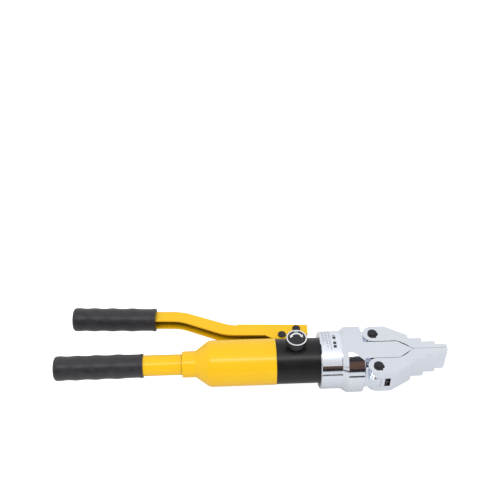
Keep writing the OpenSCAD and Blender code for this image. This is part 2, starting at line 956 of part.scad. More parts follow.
// Far jaw about its pin: fork for the tongue, pin bore, spring channel and dowel hole
module jaw_solid() {
    lean = 2 * ear_r * tan(jaw_swing);
    difference() {
        translate([0, 0, -jaw_t / 2])
            linear_extrude(jaw_t)
                jaw_outline();
        translate([0, 0, -tongue_t / 2 - gap]) {
            cylinder(h = tongue_t + 2 * gap, r = ear_r + gap);
            translate([-2 * ear_r, -2 * ear_r, 0])
                cube([2 * ear_r, 4 * ear_r, tongue_t + 2 * gap]);
        }
        bar_z(-jaw_t, jaw_t, jaw_pin_r + run_clear);
        translate([window_u, 0, -tongue_t / 2])
            linear_extrude(tongue_t)
                polygon([[-window_w / 2, ear_r + eps], [window_w / 2, ear_r + eps],
                         [window_w / 2, -ear_r - eps], [-window_w / 2 - lean * 0.8, -ear_r - eps],
                         [-window_w / 2, ear_r - 4]]);
        translate([window_u, dowel_v, 0])
            bar_z(-jaw_t, dowel_top, dowel_r);
    }
}

module jaw_far() {
    color(chrome)
        translate([x_pin, pin_side, 0])
            jaw_solid();
}

module jaw_near() {
    color(chrome)
        mirror([0, 1, 0])
            translate([x_pin, pin_side, 0])
                jaw_solid();
}

module jaw_pins() {
    top = jaw_t / 2 + pin_stand;
    color(black)
        for (side = [-1, 1])
            translate([x_pin, side * pin_side, 0])
                difference() {
                    bar_z(-top, top, jaw_pin_r);
                    for (z = [z_clip, -z_clip - clip_t])
                        clip_groove(z, clip_t, jaw_pin_r);
                }
}

module jaw_circlips() {
    color(black)
        for (side = [-1, 1], z = [z_clip, -z_clip - clip_t])
            translate([x_pin, side * pin_side, z])
                rotate([0, 0, -35])
                    circlip(clip_in, clip_out, clip_t, 2.4);
}

// Tension spring that draws the jaws together, with an eye on each dowel
module closing_spring() {
    color(chrome)
        translate([x_pin + window_u, 0, 0]) {
            rotate([0, 0, 90])
                coil_x(-spring_end, spring_end, spring_r, spring_wire, 18);
            for (side = [0, 1])
                mirror([0, side, 0])
                    spring_eye();
        }
}

// Eye about a dowel, led to the coil's last turn by a straight piece of wire
module spring_eye() {
    wire_r = spring_wire / 2;
    translate([0, spring_end + eye_r, 0])
        rotate_extrude()
            translate([eye_r, 0])
                circle(r = wire_r, $fn = 16);
    translate([0, spring_end - wire_r, 0])
        bar_x(-spring_r, 0, wire_r);
}

module spring_dowel(side) {
    color(black)
        translate([x_pin + window_u, side * (pin_side + dowel_v), 0])
            bar_z(-jaw_t / 2 + 4, dowel_top, dowel_r);
}

module spring_dowel_far() {
    spring_dowel(1);
}

module spring_dowel_near() {
    spring_dowel(-1);
}

// Stations of the channel's middle line: [u, v, heading, half width]
channel_line = concat(
    [[web_u, v_front, 0, channel_w / 2]],
    [for (a = [0 : 3 : bend_a])
        [bend_u + bend_r * sin(a), v_front + bend_r * (1 - cos(a)), a, channel_w / 2]],
    [for (a = [bend_a : -3 : 0])
        [bend_u + 2 * bend_r * sin(bend_a) + ramp_l * cos(bend_a) - bend_r * sin(a),
         v_grip - bend_r * (1 - cos(a)), a, channel_w_grip / 2]],
    [[channel_end_u, v_grip, 0, channel_w_grip / 2]]);

// Point beside the middle line, at a signed distance given by share * half width + inset
function beside(p, share, inset) =
    let (o = share * p[3] + inset)
    [p[0] - o * sin(p[2]), p[1] + o * cos(p[2])];

module channel_band(share0, inset0, share1, inset1) {
    n = len(channel_line) - 1;
    polygon(concat(
        [for (p = channel_line) beside(p, share0, inset0)],
        [for (i = [n : -1 : 0]) beside(channel_line[i], share1, inset1)]));
}

// Flange outline: the band plus the plate that carries both pins
module flange_outline() {
    difference() {
        union() {
            channel_band(1, 0, -1, 0);
            polygon([[front_u, edge_v - 1.5], [front_u + 1.5, edge_v], [web_u + 2, edge_v],
                     [notch_u + 10, edge_v], [notch_u + 10, edge_v - channel_w],
                     [notch_u, edge_v - channel_w], [33, -16.5], [29, ear_v + 0.6],
                     [24, ear_v], [0, ear_v + 0.5], [-8, -15], [front_u, -8.5]]);
        }
        for (p = [[0, 0], [pin_u, pin_v]])
            translate(p)
                circle(r = pin_r);
    }
}

module lever_channel() {
    color(yellow)
        lever_frame() {
            for (z = [-channel_h / 2, channel_h / 2 - sheet])
                translate([0, 0, z])
                    linear_extrude(sheet)
                        flange_outline();
            translate([0, 0, -channel_h / 2])
                linear_extrude(channel_h)
                    channel_band(1, 0, 1, -sheet);
        }
}

module lever_grip() {
    color(black)
        lever_frame()
            translate([grip_end_u, v_grip, 0])
                mirror([1, 0, 0])
                    difference() {
                        grip_body(lever_grip_l);
                        translate([grip_end_u - channel_end_u, -channel_w_grip / 2, -channel_h / 2])
                            cube([lever_grip_l, channel_w_grip, channel_h]);
                    }
}

translate(place) {
    fixed_grip();
    handle_tube();
    reservoir_housing();
    oil_bladder();
    bladder_plug();
    bladder_clamp();
    suction_filter();
    pump_body();
    pivot_lug();
    housing_seal();
    cylinder_seal();
    plunger_gland();
    plunger_seal();
    plunger();
    plunger_pin();
    suction_valve_ball();
    suction_spring();
    discharge_seat();
    discharge_valve_ball();
    discharge_spring();
    discharge_plug();
    relief_valve_ball();
    relief_spring();
    relief_screw();
    release_valve_ball();
    release_spindle();
    spindle_seal();
    release_knob();
    knob_face();
    knob_pointer();
    knob_screw();
    cylinder_head();
    head_lock_screw();
    nameplate();
    rod_wiper();
    piston();
    piston_seal();
    piston_screw();
    return_spring();
    ram_wedge();
    jaw_far();
    jaw_near();
    jaw_pins();
    jaw_circlips();
    closing_spring();
    spring_dowel_far();
    spring_dowel_near();
    lever_channel();
    lever_grip();
    lever_pivot_pin();
    lever_pin_clips();
}
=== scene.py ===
import json
from itertools import cycle
from math import cos, exp, pi, radians, sin, tan

import bpy
from mathutils import Matrix, Vector


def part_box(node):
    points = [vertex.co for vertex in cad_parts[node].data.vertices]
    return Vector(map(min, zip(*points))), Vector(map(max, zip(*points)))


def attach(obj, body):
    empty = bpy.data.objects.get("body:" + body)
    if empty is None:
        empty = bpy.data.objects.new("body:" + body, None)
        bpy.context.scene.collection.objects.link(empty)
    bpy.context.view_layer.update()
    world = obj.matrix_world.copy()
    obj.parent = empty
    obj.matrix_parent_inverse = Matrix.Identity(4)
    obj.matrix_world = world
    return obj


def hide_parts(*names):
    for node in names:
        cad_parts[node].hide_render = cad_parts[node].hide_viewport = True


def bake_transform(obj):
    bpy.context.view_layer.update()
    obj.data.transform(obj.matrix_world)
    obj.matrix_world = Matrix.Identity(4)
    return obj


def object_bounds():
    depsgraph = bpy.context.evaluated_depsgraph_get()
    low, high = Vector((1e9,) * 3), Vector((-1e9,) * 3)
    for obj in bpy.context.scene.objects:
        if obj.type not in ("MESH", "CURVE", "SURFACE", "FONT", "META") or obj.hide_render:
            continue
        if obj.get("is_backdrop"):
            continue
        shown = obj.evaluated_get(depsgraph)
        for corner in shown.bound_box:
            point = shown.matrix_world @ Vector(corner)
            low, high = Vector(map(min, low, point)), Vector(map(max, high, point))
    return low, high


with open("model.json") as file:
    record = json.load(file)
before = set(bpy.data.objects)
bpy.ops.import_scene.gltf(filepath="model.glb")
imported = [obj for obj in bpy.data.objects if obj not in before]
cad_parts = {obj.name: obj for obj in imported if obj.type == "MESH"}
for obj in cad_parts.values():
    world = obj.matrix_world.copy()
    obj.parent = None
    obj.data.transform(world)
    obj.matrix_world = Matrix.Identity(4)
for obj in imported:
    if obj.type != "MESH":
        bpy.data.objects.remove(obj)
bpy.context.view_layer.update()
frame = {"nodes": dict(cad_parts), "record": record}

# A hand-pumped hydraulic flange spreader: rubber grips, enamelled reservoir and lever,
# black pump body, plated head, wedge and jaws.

MM = 0.001
scene = bpy.context.scene
SLOT_OF = {row["node"]: row["material_slot"] for row in frame["record"]["subparts"]}


# ---------------------------------------------------------------- places

def middle(node):
    low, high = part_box(node)
    return (low + high) / 2


def size(node):
    low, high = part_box(node)
    return high - low


AXIS = middle("reservoir_housing")
JAW_PIN_X = middle("jaw_pins").x
LEVER_TILT = radians(2.7)
PANEL_WIDTH = 3.2


# ---------------------------------------------------------------- camera and light

def set_camera():
    """Camera above and in front of the tool, aimed a little behind its middle."""
    azimuth, elevation = radians(-2.425), radians(42.6)
    back = Vector((sin(azimuth) * cos(elevation), -cos(azimuth) * cos(elevation), sin(elevation)))
    from_jaw_pins = Vector((-189.7, -647.83, 794.82)) * MM
    data = bpy.data.cameras.new("studio_camera")
    camera = bpy.data.objects.new("studio_camera", data)
    scene.collection.objects.link(camera)
    camera.location = Vector((JAW_PIN_X, AXIS.y, AXIS.z)) + from_jaw_pins
    camera.rotation_mode = "QUATERNION"
    camera.rotation_quaternion = (-back).to_track_quat("-Z", "Y")
    data.sensor_width = 36
    data.lens = 56.16
    data.clip_start, data.clip_end = 0.05, 20
    scene.camera = camera


def make_card(name, low, high, grey):
    """A dark studio panel in front of the tool, seen only in its reflections.
    low and high are the angles of its edges above the tool's axis."""
    distance = 1.0
    bottom, top = distance * tan(radians(low)), distance * tan(radians(high))
    deselect()
    bpy.ops.mesh.primitive_plane_add(size=1, rotation=(pi / 2, 0, 0),
                                     location=AXIS + Vector((0, -distance, (bottom + top) / 2)))
    card = bpy.context.object
    card.name = name
    card.scale = (PANEL_WIDTH, top - bottom, 1)
    settle(card)
    card.visible_camera = card.visible_diffuse = card.visible_shadow = False
    card.data.materials.append(finish(name, grey, [0.6 * part for part in grey], (0.9, 1.0),
                                      patch=4, grain=(20, 0.0, 0.01), specular=0.0))
    card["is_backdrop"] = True


def make_floor_strip():
    """A dark strip flat on the floor in front of the tool, seen only in its reflections."""
    near_angle, far_angle, lift = 11, 7, 0.3 * MM
    near, far = AXIS.z / tan(radians(near_angle)), AXIS.z / tan(radians(far_angle))
    deselect()
    bpy.ops.mesh.primitive_plane_add(size=1, location=(0, AXIS.y - (near + far) / 2, lift))
    strip = bpy.context.object
    strip.name = "floor_strip"
    strip.scale = (PANEL_WIDTH, far - near, 1)
    settle(strip)
    strip.visible_camera = strip.visible_diffuse = strip.visible_shadow = False
    strip.data.materials.append(finish("floor_strip", (0.03, 0.03, 0.035), (0.02, 0.02, 0.022),
                                       (0.9, 1.0), patch=4, grain=(20, 0.0, 0.01), specular=0.0))
    strip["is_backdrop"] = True


def set_light():
    """White studio: bright dome, long soft box overhead, dark panels in front."""
    world = bpy.data.worlds.new("white_studio")
    scene.world = world
    world.use_nodes = True
    sky = world.node_tree.nodes["Background"]
    sky.inputs["Color"].default_value = (0.98, 0.99, 1.0, 1)
    sky.inputs["Strength"].default_value = 0.88
    data = bpy.data.lights.new("soft_box", "AREA")
    data.shape = "RECTANGLE"
    data.size, data.size_y = 1.1, 0.26
    data.energy = 5
    lamp = bpy.data.objects.new("soft_box", data)
    scene.collection.objects.link(lamp)
    lamp.location = AXIS + Vector((0, -0.52, 1.16))
    lamp.rotation_mode = "QUATERNION"
    lamp.rotation_quaternion = (AXIS - lamp.location).to_track_quat("-Z", "Y")
    scene.view_settings.view_transform = "Standard"
    make_card("upper_panel", 41, 60.5, (0.045, 0.048, 0.055))
    make_card("middle_panel", 15, 41, (0.17, 0.1, 0.075))
    make_card("lower_panel", 3.5, 15, (0.025, 0.025, 0.03))
    make_floor_strip()


# ---------------------------------------------------------------- modelling helpers

def deselect():
    if bpy.context.object is not None and bpy.context.object.mode != "OBJECT":
        bpy.ops.object.mode_set(mode="OBJECT")
    bpy.ops.object.select_all(action="DESELECT")


def pick(piece):
    """Makes one piece the active and only selected one."""
    deselect()
    bpy.context.view_layer.objects.active = piece
    piece.select_set(True)


def settle(piece):
    """Applies the piece's place, turn and scale, so that it sits at the origin."""
    pick(piece)
    bpy.ops.object.transform_apply(location=True, rotation=True, scale=True)
    return piece


def apply_modifiers(piece):
    pick(piece)
    for modifier in list(piece.modifiers):
        bpy.ops.object.modifier_apply(modifier=modifier.name)
    return piece


def round_edges(piece, width, segments=3, angle=30):
    """Rounds every edge sharper than the angle and keeps flat faces flat."""
    pick(piece)
    bpy.ops.object.shade_smooth()
    bevel = piece.modifiers.new("rounding", "BEVEL")
    bevel.width = width
    bevel.segments = segments
    bevel.limit_method = "ANGLE"
    bevel.angle_limit = radians(angle)
    bevel.harden_normals = True
    bevel.use_clamp_overlap = True
    return apply_modifiers(piece)


def frame_of(axis):
    """Direction of a turning axis and the direction its radius starts from."""
    return {"X": (Vector((1, 0, 0)), Vector((0, 0, 1))),
            "Z": (Vector((0, 0, 1)), Vector((1, 0, 0)))}[axis]


def spun(name, profile, axis, centre, steps=96, start=0.0, sweep=2 * pi):
    """Turns a profile of (along, radius) points about an axis through the centre."""
    along, out = frame_of(axis)
    out = Matrix.Rotation(start, 3, along) @ out
    points = [centre + along * (a - centre.dot(along)) + out * r for a, r in profile]
    deselect()
    bpy.ops.mesh.primitive_plane_add(size=MM, location=points[0])
    piece = bpy.context.object
    piece.name = name
    bpy.ops.object.mode_set(mode="EDIT")
    bpy.ops.mesh.select_mode(type="VERT")
    bpy.ops.mesh.merge(type="CENTER")
    for here, there in zip(points, points[1:]):
        bpy.ops.mesh.extrude_region_move(TRANSFORM_OT_translate={"value": there - here})
    bpy.ops.mesh.select_all(action="SELECT")
    bpy.ops.mesh.spin(steps=steps, angle=-sweep, center=centre, axis=along)
    bpy.ops.mesh.select_all(action="SELECT")
    bpy.ops.mesh.remove_doubles(threshold=1e-6)
    bpy.ops.mesh.normals_make_consistent(inside=False)
    bpy.ops.object.mode_set(mode="OBJECT")
    return settle(piece)


def dressed_copy(node, name):
    """A merged copy of a CAD node's mesh, with its flat faces whole, ready to be rounded."""
    source = frame["nodes"][node]
    piece = bpy.data.objects.new(name, source.data.copy())
    scene.collection.objects.link(piece)
    pick(piece)
    bpy.ops.object.mode_set(mode="EDIT")
    bpy.ops.mesh.select_mode(type="VERT")
    bpy.ops.mesh.select_all(action="SELECT")
    bpy.ops.mesh.customdata_custom_splitnormals_clear()
    bpy.ops.mesh.remove_doubles(threshold=2e-6)
    bpy.ops.mesh.dissolve_limited(angle_limit=radians(0.4))
    bpy.ops.object.mode_set(mode="OBJECT")
    return piece


def joined(name, pieces):
    deselect()
    for piece in pieces:
        piece.select_set(True)
    bpy.context.view_layer.objects.active = pieces[0]
    bpy.ops.object.join()
    pieces[0].name = name
    return pieces[0]


def fit(piece, body, material, replaced=()):
    """Gives a finished piece its material, its body and the CAD nodes that it stands
    for."""
    piece.data.materials.clear()
    piece.data.materials.append(material)
    if body:
        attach(piece, body)
    if replaced:
        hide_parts(*replaced)
    return piece


# ---------------------------------------------------------------- shared effects

def new_group(name, inputs, outputs):
    tree = bpy.data.node_groups.new(name, "ShaderNodeTree")
    for label, value in inputs:
        socket = tree.interface.new_socket(label, in_out="INPUT", socket_type="NodeSocketFloat")
        socket.default_value = value
    for label, kind in outputs:
        tree.interface.new_socket(label, in_out="OUTPUT", socket_type="NodeSocket" + kind)
    return tree, tree.nodes.new("NodeGroupInput"), tree.nodes.new("NodeGroupOutput")


def add(tree, kind, **settings):
    node = tree.nodes.new("ShaderNode" + kind)
    for key, value in settings.items():
        setattr(node, key, value)
    return node


def maths(tree, operation, first, second=None, clamp=False):
    node = add(tree, "Math", operation=operation, use_clamp=clamp)
    for socket, value in zip(node.inputs, (first, second)):
        if value is None:
            continue
        if isinstance(value, (int, float)):
            socket.default_value = value
        else:
            tree.links.new(value, socket)
    return node.outputs[0]


def stretched_place(tree, scale):
    """Object coordinates stretched by a scale along each axis."""
    place = add(tree, "TexCoord")
    stretch = add(tree, "Mapping")
    stretch.inputs["Scale"].default_value = scale
    tree.links.new(place.outputs["Object"], stretch.inputs["Vector"])
    return stretch.outputs["Vector"]


def noise(tree, vector, scale, detail=2.0, roughness=0.5):
    node = add(tree, "TexNoise")
    tree.links.new(vector, node.inputs["Vector"])
    if isinstance(scale, (int, float)):
        node.inputs["Scale"].default_value = scale
    else:
        tree.links.new(scale, node.inputs["Scale"])
    node.inputs["Detail"].default_value = detail
    node.inputs["Roughness"].default_value = roughness
    return node.outputs["Fac"]


def make_mottle():
    """Slow and fine uneven patches, from 0 to 1."""
    tree, given, result = new_group("mottle", [("Scale", 60)], [("Mask", "Float")])
    place = stretched_place(tree, (1, 1, 1))
    slow_share, fine_share, finer, base = 1.5, 0.5, 6, 0.5
    slow = noise(tree, place, given.outputs["Scale"], 3)
    fine = noise(tree, place, maths(tree, "MULTIPLY", given.outputs["Scale"], finer), 4, 0.6)
    both = maths(tree, "ADD", maths(tree, "MULTIPLY", slow, slow_share),
                 maths(tree, "MULTIPLY", fine, fine_share))
    tree.links.new(maths(tree, "SUBTRACT", both, base, clamp=True), result.inputs["Mask"])
    return tree


def make_grain():
    """Small pits and bumps of a moulded, sprayed or ground skin."""
    tree, given, result = new_group("skin_grain", [("Scale", 900), ("Pits", 0.3)],
                                    [("Height", "Float")])
    place = stretched_place(tree, (1, 1, 1))
    cells = add(tree, "TexVoronoi", feature="SMOOTH_F1")
    tree.links.new(place, cells.inputs["Vector"])
    tree.links.new(given.outputs["Scale"], cells.inputs["Scale"])
    soft = noise(tree, place, given.outputs["Scale"], 3, 0.6)
    pits = maths(tree, "MULTIPLY", cells.outputs["Distance"], given.outputs["Pits"])
    tree.links.new(maths(tree, "ADD", soft, pits), result.inputs["Height"])
    return tree


def make_tool_lines():
    """Fine rings left by turning or polishing about the X axis."""
    tree, given, result = new_group("tool_lines", [("Scale", 900)], [("Height", "Float")])
    rings = noise(tree, stretched_place(tree, (1, 0.02, 0.02)), given.outputs["Scale"], 4, 0.7)
    tree.links.new(rings, result.inputs["Height"])
    return tree


def make_edge_rub():
    """Edges where handling has thinned the finish, broken up by noise."""
    tree, given, result = new_group("edge_rub", [("Width", 0.0006), ("Amount", 0.5)],
                                    [("Mask", "Float")])
    bevel = add(tree, "Bevel", samples=4)
    tree.links.new(given.outputs["Width"], bevel.inputs["Radius"])
    shape = add(tree, "NewGeometry")
    turn = add(tree, "VectorMath", operation="DOT_PRODUCT")
    tree.links.new(bevel.outputs["Normal"], turn.inputs[0])
    tree.links.new(shape.outputs["Normal"], turn.inputs[1])
    bend_gain, patch_scale, bare_above, contrast = 9, 220, 1.02, 3
    bend = maths(tree, "MULTIPLY", maths(tree, "SUBTRACT", 1, turn.outputs["Value"]), bend_gain)
    patch = noise(tree, stretched_place(tree, (1, 1, 1)), patch_scale, 4, 0.65)
    worn = maths(tree, "SUBTRACT", maths(tree, "ADD", bend, patch), bare_above, clamp=True)
    strong = maths(tree, "MULTIPLY", worn, contrast)
    spread = maths(tree, "MULTIPLY", strong, given.outputs["Amount"], clamp=True)
    tree.links.new(spread, result.inputs["Mask"])
    return tree


def make_painted_shade():
    """Painted shade: a mask from ambient occlusion that darkens the colour in narrow gaps and inner
    corners, where shade falls.
    """
    tree, given, result = new_group("painted_recess_shade", [("Depth", 0.006), ("Start", 0.62)],
                                    [("Mask", "Float")])
    contrast = 2.6
    near = add(tree, "AmbientOcclusion", samples=8)
    tree.links.new(given.outputs["Depth"], near.inputs["Distance"])
    short = maths(tree, "SUBTRACT", given.outputs["Start"], near.outputs["AO"], clamp=True)
    tree.links.new(maths(tree, "MULTIPLY", short, contrast, clamp=True), result.inputs["Mask"])
    return tree


MOTTLE = make_mottle()
GRAIN = make_grain()
TOOL_LINES = make_tool_lines()
EDGE_RUB = make_edge_rub()
PAINTED_SHADE = make_painted_shade()


def place_group(tree, group, **values):
    node = add(tree, "Group", node_tree=group)
    for label, value in values.items():
        node.inputs[label].default_value = value
    return node.outputs[0]


def finish(name, colour, other, rough, metal=0.0, patch=60, grain=(900, 0.3, 0.01), lines=None,
           rub=None, coat=None, sheen=None, specular=0.5, painted_shade=None):
    """A finish: a colour that drifts to another, uneven roughness, grain, tool lines, worn edges and
    painted shade in gaps.
    grain is (scale, pits, depth in mm), lines (scale, depth in mm), rub (width in mm, amount,
    colour, roughness), coat (weight, roughness), sheen (weight, roughness) and recess, the painted shade
    (depth in mm, openness where the painted shade starts, colour of the painted shade)."""
    material = bpy.data.materials.new(name)
    material.use_nodes = True
    tree = material.node_tree
    shader = tree.nodes["Principled BSDF"]
    shader.inputs["Metallic"].default_value = metal
    shader.inputs["Specular IOR Level"].default_value = specular
    patches = place_group(tree, MOTTLE, Scale=patch)
    blend = add(tree, "Mix", data_type="RGBA")
    tree.links.new(patches, blend.inputs["Factor"])
    blend.inputs["A"].default_value = (*colour, 1)
    blend.inputs["B"].default_value = (*other, 1)
    surface = blend.outputs["Result"]
    spread = add(tree, "MapRange")
    spread.inputs["To Min"].default_value, spread.inputs["To Max"].default_value = rough
    tree.links.new(patches, spread.inputs["Value"])
    roughness = spread.outputs["Result"]
    if rub:
        width, amount, bare, bare_rough = rub
        worn = place_group(tree, EDGE_RUB, Width=width * MM, Amount=amount)
        over = add(tree, "Mix", data_type="RGBA")
        tree.links.new(worn, over.inputs["Factor"])
        tree.links.new(surface, over.inputs["A"])
        over.inputs["B"].default_value = (*bare, 1)
        surface = over.outputs["Result"]
        smooth = add(tree, "Mix", data_type="FLOAT")
        tree.links.new(worn, smooth.inputs["Factor"])
        tree.links.new(roughness, smooth.inputs["A"])
        smooth.inputs["B"].default_value = bare_rough
        roughness = smooth.outputs["Result"]
    # Painted shade: the colour darkens towards the shade colour in gaps and inner corners.
    if painted_shade:
        depth, start, shade = painted_shade
        shaded = add(tree, "Mix", data_type="RGBA")
        tree.links.new(place_group(tree, PAINTED_SHADE, Depth=depth * MM, Start=start), shaded.inputs["Factor"])
        tree.links.new(surface, shaded.inputs["A"])
        shaded.inputs["B"].default_value = (*shade, 1)
        surface = shaded.outputs["Result"]
    tree.links.new(surface, shader.inputs["Base Color"])
    tree.links.new(roughness, shader.inputs["Roughness"])
    scale, pits, depth = grain
    bump = add(tree, "Bump")
    bump.inputs["Distance"].default_value = depth * MM
    tree.links.new(place_group(tree, GRAIN, Scale=scale, Pits=pits), bump.inputs["Height"])
    if lines:
        ring_scale, ring_depth = lines
        rings = add(tree, "Bump")
        rings.inputs["Distance"].default_value = ring_depth * MM
        tree.links.new(place_group(tree, TOOL_LINES, Scale=ring_scale), rings.inputs["Height"])
        tree.links.new(rings.outputs["Normal"], bump.inputs["Normal"])
    tree.links.new(bump.outputs["Normal"], shader.inputs["Normal"])
    if coat:
        shader.inputs["Coat Weight"].default_value, shader.inputs["Coat Roughness"].default_value = coat
    if sheen:
        shader.inputs["Sheen Weight"].default_value, shader.inputs["Sheen Roughness"].default_value = sheen
    return material


FINISH = {
    "grip_rubber": finish("charcoal_grip_rubber", (0.014, 0.0135, 0.017), (0.034, 0.033, 0.04),
                          (0.34, 0.5), patch=120, grain=(1500, 0.5, 0.06), sheen=(0.12, 0.5),
                          specular=0.42),
    # The enamel's recess colour is painted shade: the dark olive of the lever channel's shadowed inside.
    "yellow_paint": finish("yellow_enamel", (0.95, 0.565, 0.006), (0.93, 0.53, 0.005), (0.24, 0.34),
                           patch=30, grain=(420, 0.0, 0.012), rub=(0.5, 0.15, (0.7, 0.47, 0.08), 0.45),
                           coat=(0.25, 0.08), specular=0.25, painted_shade=(16, 0.72, (0.15, 0.1, 0.003))),
    "black_body": finish("satin_black_body", (0.008, 0.008, 0.009), (0.014, 0.014, 0.016), (0.26, 0.38),
                         patch=70, grain=(1300, 0.2, 0.012), lines=(1400, 0.004),
                         rub=(0.5, 0.25, (0.06, 0.06, 0.07), 0.3), specular=0.3),
    # The plating's recess colour is painted shade in the gaps between plated parts.
    "chrome": finish("bright_plating", (0.82, 0.85, 0.91), (0.78, 0.81, 0.88), (0.07, 0.14),
                     metal=1.0, patch=45, grain=(60, 0.0, 0.006), lines=(1500, 0.001),
                     rub=(0.35, 0.25, (0.6, 0.6, 0.64), 0.2), painted_shade=(5, 0.5, (0.05, 0.055, 0.06))),
    "black_oxide": finish("black_oxide", (0.02, 0.02, 0.023), (0.045, 0.042, 0.05), (0.32, 0.5),
                          metal=0.4, patch=260, grain=(1600, 0.3, 0.01), specular=0.3,
                          rub=(0.3, 0.5, (0.13, 0.13, 0.14), 0.3)),
    "steel": finish("ground_steel", (0.55, 0.55, 0.57), (0.46, 0.46, 0.48), (0.2, 0.34), metal=1.0,
                    patch=120, grain=(1200, 0.1, 0.004), lines=(2200, 0.004),
                    rub=(0.3, 0.4, (0.7, 0.7, 0.72), 0.15)),
    "ball_steel": finish("polished_ball", (0.74, 0.74, 0.76), (0.66, 0.66, 0.69), (0.04, 0.1),
                         metal=1.0, patch=300, grain=(900, 0.1, 0.002)),
    "spring_steel": finish("drawn_spring_wire", (0.36, 0.36, 0.38), (0.24, 0.24, 0.26), (0.25, 0.42),
                           metal=1.0, patch=420, grain=(2400, 0.2, 0.006)),
    "seal_rubber": finish("black_seal_rubber", (0.015, 0.015, 0.015), (0.03, 0.03, 0.03), (0.4, 0.6),
                          patch=200, grain=(1600, 0.3, 0.01)),
    "bladder_rubber": finish("oil_bladder_rubber", (0.07, 0.04, 0.022), (0.1, 0.06, 0.035), (0.4, 0.6),
                             patch=90, grain=(800, 0.3, 0.03)),
    "filter_brass": finish("sintered_brass", (0.62, 0.42, 0.16), (0.42, 0.27, 0.1), (0.45, 0.7),
                           metal=1.0, patch=900, grain=(2600, 1.0, 0.08)),
    "plate_silver": finish("printed_plate", (0.76, 0.79, 0.86), (0.71, 0.75, 0.83), (0.3, 0.42),
                           metal=0.3, patch=60, grain=(1800, 0.1, 0.004), coat=(0.2, 0.2)),
    "knob_black": finish("moulded_knob", (0.014, 0.014, 0.016), (0.024, 0.023, 0.027), (0.36, 0.5),
                         patch=200, grain=(1800, 0.4, 0.02), specular=0.35,
                         rub=(0.4, 0.2, (0.06, 0.06, 0.065), 0.4)),
    "knob_white": finish("white_marking", (0.84, 0.84, 0.86), (0.76, 0.76, 0.79), (0.35, 0.5),
                         patch=400, grain=(1800, 0.2, 0.006)),
    "pointer_grey": finish("pale_pointer", (0.42, 0.50, 0.48), (0.36, 0.44, 0.42), (0.3, 0.45),
                           patch=500, grain=(1500, 0.2, 0.006)),
}
PRINT_GREY = finish("grey_print", (0.16, 0.17, 0.2), (0.26, 0.27, 0.31), (0.4, 0.6), patch=700,
                    grain=(1800, 0.2, 0.004))
PRINT_DARK = finish("dark_print", (0.02, 0.02, 0.024), (0.05, 0.05, 0.055), (0.4, 0.6), patch=700,
                    grain=(1800, 0.2, 0.004))


# ---------------------------------------------------------------- rubber grips

GRIP_R, GRIP_TAPER, GRIP_CREST = 15.25, 0.2, 0.85
CREST_PLACES, CREST_WIDTH = (0.06, 0.25, 0.47, 0.71), 0.062
LIP_PLACE, LIP_WIDTH = 0.985, 0.02
LEVER_GRIP_BORE = 12.4 * MM


def grip_radius(share):
    """Radius of a grip at a share of its length: end bulge, three finger crests and a flared lip."""
    swell = sum(exp(-((share - crest) / CREST_WIDTH) ** 2) for crest in CREST_PLACES)
    lip = exp(-((share - LIP_PLACE) / LIP_WIDTH) ** 2)
    return (GRIP_R - GRIP_TAPER * share + GRIP_CREST * swell + GRIP_CREST * lip) * MM


def make_grip(name, closed_end, length, bore):
    """A moulded grip along X: domed closed end, finger waves, rolled mouth and a bore for the bar."""
    dome, crown, floor_t = 3.6 * MM, 0.12 * MM, 5 * MM
    slack, flare, flare_l, lip_round = 0.05 * MM, 1.1 * MM, 0.8 * MM, 0.5 * MM
    rings = 44
    x = closed_end.x
    first = grip_radius(dome / length)
    outside = [(x, 0.0), (x + crown, first * 0.5)]
    outside += [(x + dome * (1 - cos(a)), first - dome * (1 - sin(a)))
                for a in (radians(d) for d in range(15, 91, 15))]
    outside += [(x + dome + (length - dome) * i / rings,
                 grip_radius((dome + (length - dome) * i / rings) / length))
                for i in range(1, rings + 1)]
    mouth = x + length
    inside = [(mouth, bore + flare), (mouth - flare_l, bore + slack),
              (x + floor_t, bore + slack), (x + floor_t, 0.0)]
    piece = spun(name, outside + inside, "X", closed_end)
    return round_edges(piece, lip_round, 3, 50)


low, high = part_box("fixed_grip")
tube_radius = size("handle_tube").z / 2
fixed_grip = make_grip("fixed_grip_rubber", Vector((low.x, AXIS.y, AXIS.z)), high.x - low.x, tube_radius)
fit(fixed_grip, "body", FINISH["grip_rubber"], ["fixed_grip"])

lever_grip_centre = middle("lever_grip")
grip_span = size("lever_grip")
lever_grip_length = (grip_span.x - grip_span.z * sin(LEVER_TILT)) / cos(LEVER_TILT)
lever_grip = make_grip("lever_grip_rubber", Vector((-lever_grip_length / 2, 0, 0)),
                       lever_grip_length, LEVER_GRIP_BORE)
lever_grip.rotation_euler = (0, 0, -LEVER_TILT)
lever_grip.location = lever_grip_centre
settle(lever_grip)
fit(lever_grip, "lever", FINISH["grip_rubber"], ["lever_grip"])


# ---------------------------------------------------------------- dressed hard parts

def dress(node, name, body, width, segments=3, angle=30):
    """A merged copy of a CAD node with rounded edges, which stands for it."""
    piece = dressed_copy(node, name)
    round_edges(piece, width * MM, segments, angle)
    slot = SLOT_OF[node]
    return fit(piece, body, FINISH[slot], [node])


dress("handle_tube", "handle_bar", "body", 0.3)
dress("reservoir_housing", "reservoir_shell", "body", 0.7)
dress("pump_body", "pump_barrel", "body", 0.5, angle=40)
dress("pivot_lug", "lever_lug", "body", 0.5)
dress("cylinder_head", "plated_head", "body", 0.7)
dress("ram_wedge", "plated_wedge", "ram", 0.5, angle=40)
dress("jaw_far", "far_stepped_jaw", "far_jaw", 0.8)
dress("jaw_near", "near_stepped_jaw", "near_jaw", 0.8)
dress("jaw_pins", "hinge_pins", "body", 0.5)
dress("jaw_circlips", "pin_circlips", "body", 0.2, 2)
dress("lever_pivot_pin", "pivot_pin_black", "lever", 0.5)
dress("plunger_pin", "plunger_pin_black", "lever", 0.5)
dress("lever_pin_clips", "lever_circlips", "lever", 0.15, 2)


# ---------------------------------------------------------------- pressed lever

